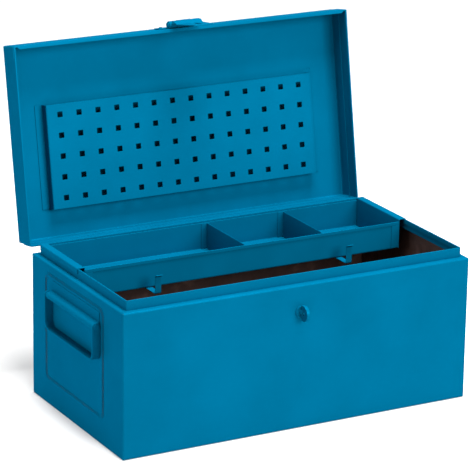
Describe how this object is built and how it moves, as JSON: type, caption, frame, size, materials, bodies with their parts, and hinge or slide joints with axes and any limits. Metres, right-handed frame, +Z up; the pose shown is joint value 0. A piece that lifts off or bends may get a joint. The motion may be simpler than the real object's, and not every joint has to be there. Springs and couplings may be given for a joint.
{
  "type": "tool chest with lift-out tray",
  "caption": "Folded steel tool chest with a hinged pan lid, perforated tool panel, hasp with turning staple, drop handles and a lift-out divided tray",
  "frame": {"origin": "Middle of the body's underside, on the surface the chest stands on.", "axes": "+Z is up, +X is to the right seen from the front, and +Y points to the back, where the lid is hinged. The rest pose has the lid open 100 degrees."},
  "size_m": [0.722, 0.5236, 0.6485],
  "materials": {
    "blue_paint": "gloss",
    "dark_blue_paint": "gloss",
    "zinc_steel": "satin"
  },
  "bodies": {
    "box": {"wrap_panel": "blue_paint", "side_panel_left": "blue_paint", "side_panel_right": "blue_paint", "hinge_body_leaf_left": "blue_paint", "hinge_body_leaf_right": "blue_paint", "hinge_pin_left": "zinc_steel", "hinge_pin_right": "zinc_steel", "hinge_body_rivets": "blue_paint", "staple_base": "blue_paint", "handle_bracket_left": "blue_paint", "handle_bracket_right": "blue_paint"},
    "lid": {"lid_shell": "blue_paint", "perforated_panel": "dark_blue_paint", "hinge_lid_leaf_left": "blue_paint", "hinge_lid_leaf_right": "blue_paint", "hinge_lid_rivets": "blue_paint", "hasp_leaf": "blue_paint", "hasp_pin": "blue_paint", "hasp_rivets": "blue_paint"},
    "hasp": {"hasp_strap": "blue_paint"},
    "staple": {"turn_staple": "blue_paint", "staple_washer": "zinc_steel"},
    "handle_left": {"handle_loop_left": "blue_paint", "handle_rod_left": "blue_paint"},
    "handle_right": {"handle_loop_right": "blue_paint", "handle_rod_right": "blue_paint"},
    "tray": {"tray_pan": "blue_paint", "tray_end_left": "blue_paint", "tray_end_right": "blue_paint", "tray_divider_middle": "dark_blue_paint", "tray_divider_right": "dark_blue_paint", "tray_cradle_left": "blue_paint", "tray_cradle_right": "blue_paint"}
  },
  "joints": [
    {"name": "lid_hinge", "type": "hinge", "parent": "box", "child": "lid", "pos_m": [0, 0.1914, 0.2615], "axis": [-1, 0, 0], "range_deg": [-100, 0]},
    {"name": "hasp_hinge", "type": "hinge", "parent": "lid", "child": "hasp", "pos_m": [0, 0.26659, 0.63319], "axis": [-1, 0, 0], "range_deg": [0, 160]},
    {"name": "staple_turn", "type": "hinge", "parent": "box", "child": "staple", "pos_m": [0, -0.184, 0.217], "axis": [0, -1, 0], "range_deg": [0, 90]},
    {"name": "handle_left_swing", "type": "hinge", "parent": "box", "child": "handle_left", "pos_m": [-0.3535, 0, 0.216], "axis": [0, 1, 0], "range_deg": [0, 90]},
    {"name": "handle_right_swing", "type": "hinge", "parent": "box", "child": "handle_right", "pos_m": [0.3535, 0, 0.216], "axis": [0, -1, 0], "range_deg": [0, 90]},
    {"name": "tray_lift", "type": "slide", "parent": "box", "child": "tray", "axis": [0, 0, 1], "range_m": [0, 0.12]}
  ]
}
